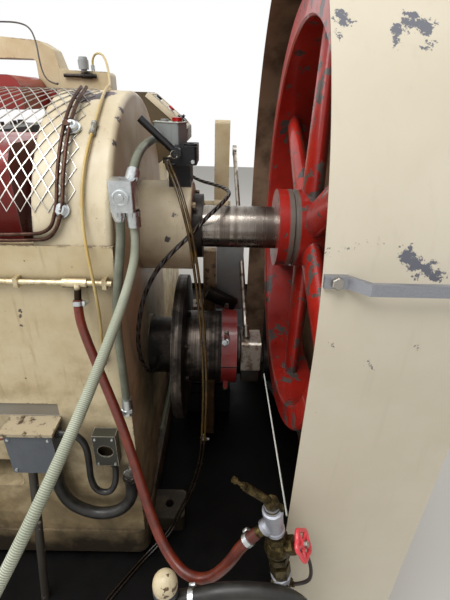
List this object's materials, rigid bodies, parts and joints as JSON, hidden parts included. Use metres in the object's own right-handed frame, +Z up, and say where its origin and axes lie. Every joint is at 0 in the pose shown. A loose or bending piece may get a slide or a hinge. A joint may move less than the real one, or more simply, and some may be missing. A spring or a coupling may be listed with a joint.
{
  "type": "cold header",
  "caption": "Horizontal crank-driven cold header with a guarded spoked flywheel, arch-covered crank bay, ram and die bed, and coolant and conduit lines",
  "frame": {"origin": "on the floor under the crank axis, on the bed's centre plane", "axes": "+X along the crank towards the flywheel, +Y towards the die and the wire feed, +Z up"},
  "size_m": [1.93, 2.7205, 1.816],
  "materials": {
    "cream_enamel": "gloss enamel, chipped",
    "red_enamel": "gloss enamel",
    "black_enamel": "oily enamel",
    "dark_casting": "oily cast iron",
    "bright_steel": "turned and ground",
    "black_steel": "oiled steel",
    "galvanised_sheet": "zinc coated",
    "grey_enamel": "hammered enamel",
    "bronze": "turned",
    "valve_brass": "dull brass",
    "copper_pipe": "tarnished copper",
    "belt_rubber": "matt",
    "grey_conduit": "ribbed sheath",
    "brown_hose": "worn rubber",
    "yellow_tube": "aged nylon",
    "amber_tube": "oil filled",
    "black_cable": "oily",
    "dark_hose": "smooth rubber",
    "black_plastic": "moulded",
    "red_plastic": "moulded"
  },
  "bodies": {
    "frame": {"oil_pan": "black_enamel", "bed": "cream_enamel", "arch_covers": "cream_enamel", "bearing_housings": "cream_enamel", "bearing_bushes": "bronze", "bearing_plates": "dark_casting", "guard_wrap": "cream_enamel", "guard_side_plate": "cream_enamel", "guard_handle": "bright_steel", "mesh_guard": "galvanised_sheet", "bridge": "cream_enamel", "ram_hood": "red_enamel", "ram_guides": "black_steel", "die_block": "black_steel", "feed_box": "cream_enamel", "drive_motor": "black_enamel", "drive_belts": "belt_rubber", "oil_pipes": "copper_pipe", "conduit_fittings": "galvanised_sheet", "valve_manifold": "valve_brass", "console": "cream_enamel", "push_button_box": "grey_enamel", "lever_box": "black_enamel", "junction_box": "grey_enamel", "bracket_box": "cream_enamel", "conduit_top": "grey_conduit", "conduit_down": "grey_conduit", "conduit_rear": "grey_conduit", "coolant_hose": "brown_hose", "yellow_oil_tube": "yellow_tube", "amber_oil_tubes": "amber_tube", "lever_cable": "black_cable", "bracket_hose": "dark_hose", "sump_hose": "dark_hose", "top_wire": "black_cable", "drain_hose": "dark_hose", "valve_hose": "black_cable"},
    "crank": {"crankshaft": "bright_steel", "flywheel": "red_enamel", "crank_gear": "black_steel"},
    "pitman": {"pitman": "red_enamel", "pitman_cap": "red_enamel", "wrist_pin": "bright_steel"},
    "lower_shaft": {"cam_shaft": "dark_casting", "cam_gear": "black_steel", "split_collar": "red_enamel"},
    "feed_rod": {"feed_rod": "bright_steel"},
    "feed_lever": {"feed_lever": "cream_enamel"},
    "ram": {"ram": "black_steel", "punches": "bright_steel"},
    "cutter": {"cutter": "bright_steel"},
    "roll_upper": {"feed_roll_upper": "bright_steel"},
    "roll_lower": {"feed_roll_lower": "bright_steel"},
    "motor_pulley": {"motor_pulley": "black_steel"},
    "hand_lever": {"hand_lever": "black_plastic"},
    "valve_wheel": {"valve_wheel": "red_enamel"},
    "start_button": {"start_button": "black_plastic"},
    "stop_button": {"stop_button": "red_plastic"},
    "selector": {"selector": "black_plastic"},
    "red_button": {"red_button": "red_plastic"}
  },
  "joints": [
    {"name": "crank_spin", "type": "hinge", "parent": "frame", "child": "crank", "pos_m": [0, 0, 1.1], "axis": [1, 0, 0], "continuous": true},
    {"name": "pitman_pin", "type": "hinge", "parent": "crank", "child": "pitman", "pos_m": [0, -0.05, 1.1], "axis": [1, 0, 0], "continuous": true},
    {"name": "lower_shaft_spin", "type": "hinge", "parent": "frame", "child": "lower_shaft", "pos_m": [0.6, 0, 0.656], "axis": [1, 0, 0], "continuous": true},
    {"name": "feed_rod_pin", "type": "hinge", "parent": "lower_shaft", "child": "feed_rod", "pos_m": [0.87, -0.04, 0.656], "axis": [1, 0, 0], "continuous": true},
    {"name": "feed_rocker", "type": "hinge", "parent": "frame", "child": "feed_lever", "pos_m": [0.6, 0.72, 0.99], "axis": [1, 0, 0], "range_deg": [-8, 8]},
    {"name": "ram_slide", "type": "slide", "parent": "frame", "child": "ram", "axis": [0, 1, 0], "range_m": [0, 0.1]},
    {"name": "cutter_slide", "type": "slide", "parent": "frame", "child": "cutter", "axis": [-1, 0, 0], "range_m": [0, 0.06]},
    {"name": "roll_upper_spin", "type": "hinge", "parent": "frame", "child": "roll_upper", "pos_m": [0.08, 1.68, 1.158], "axis": [1, 0, 0], "continuous": true},
    {"name": "roll_lower_spin", "type": "hinge", "parent": "frame", "child": "roll_lower", "pos_m": [0.08, 1.68, 1.042], "axis": [1, 0, 0], "continuous": true},
    {"name": "motor_spin", "type": "hinge", "parent": "frame", "child": "motor_pulley", "pos_m": [1, 0.48, 0.25], "axis": [1, 0, 0], "continuous": true},
    {"name": "hand_lever_tilt", "type": "hinge", "parent": "frame", "child": "hand_lever", "pos_m": [0.64, -0.105, 1.326], "axis": [0, 1, 0], "range_deg": [0, 30]},
    {"name": "valve_spin", "type": "hinge", "parent": "frame", "child": "valve_wheel", "pos_m": [0.91864, -0.77399, 0.76488], "axis": [0.7872, -0.269, 0.555], "range_deg": [0, 720]},
    {"name": "start_press", "type": "slide", "parent": "frame", "child": "start_button", "axis": [-0.632, 0, -0.7749], "range_m": [0, 0.004], "stiffness_N_per_m": 400},
    {"name": "stop_press", "type": "slide", "parent": "frame", "child": "stop_button", "axis": [-0.632, 0, -0.7749], "range_m": [0, 0.004], "stiffness_N_per_m": 400},
    {"name": "selector_turn", "type": "hinge", "parent": "frame", "child": "selector", "pos_m": [0.59698, 0.462, 1.3783], "axis": [0.632, 0, 0.7749], "range_deg": [-45, 45]},
    {"name": "red_press", "type": "slide", "parent": "frame", "child": "red_button", "axis": [0, 0, -1], "range_m": [0, 0.004], "stiffness_N_per_m": 400}
  ],
  "couplings": [
    {"joint": "pitman_pin", "follows": "crank_spin", "ratio": -1},
    {"joint": "lower_shaft_spin", "follows": "crank_spin", "ratio": -0.5},
    {"joint": "feed_rod_pin", "follows": "crank_spin", "ratio": 0.5},
    {"joint": "motor_spin", "follows": "crank_spin", "ratio": 6.25},
    {"joint": "roll_lower_spin", "follows": "roll_upper_spin", "ratio": -1}
  ]
}
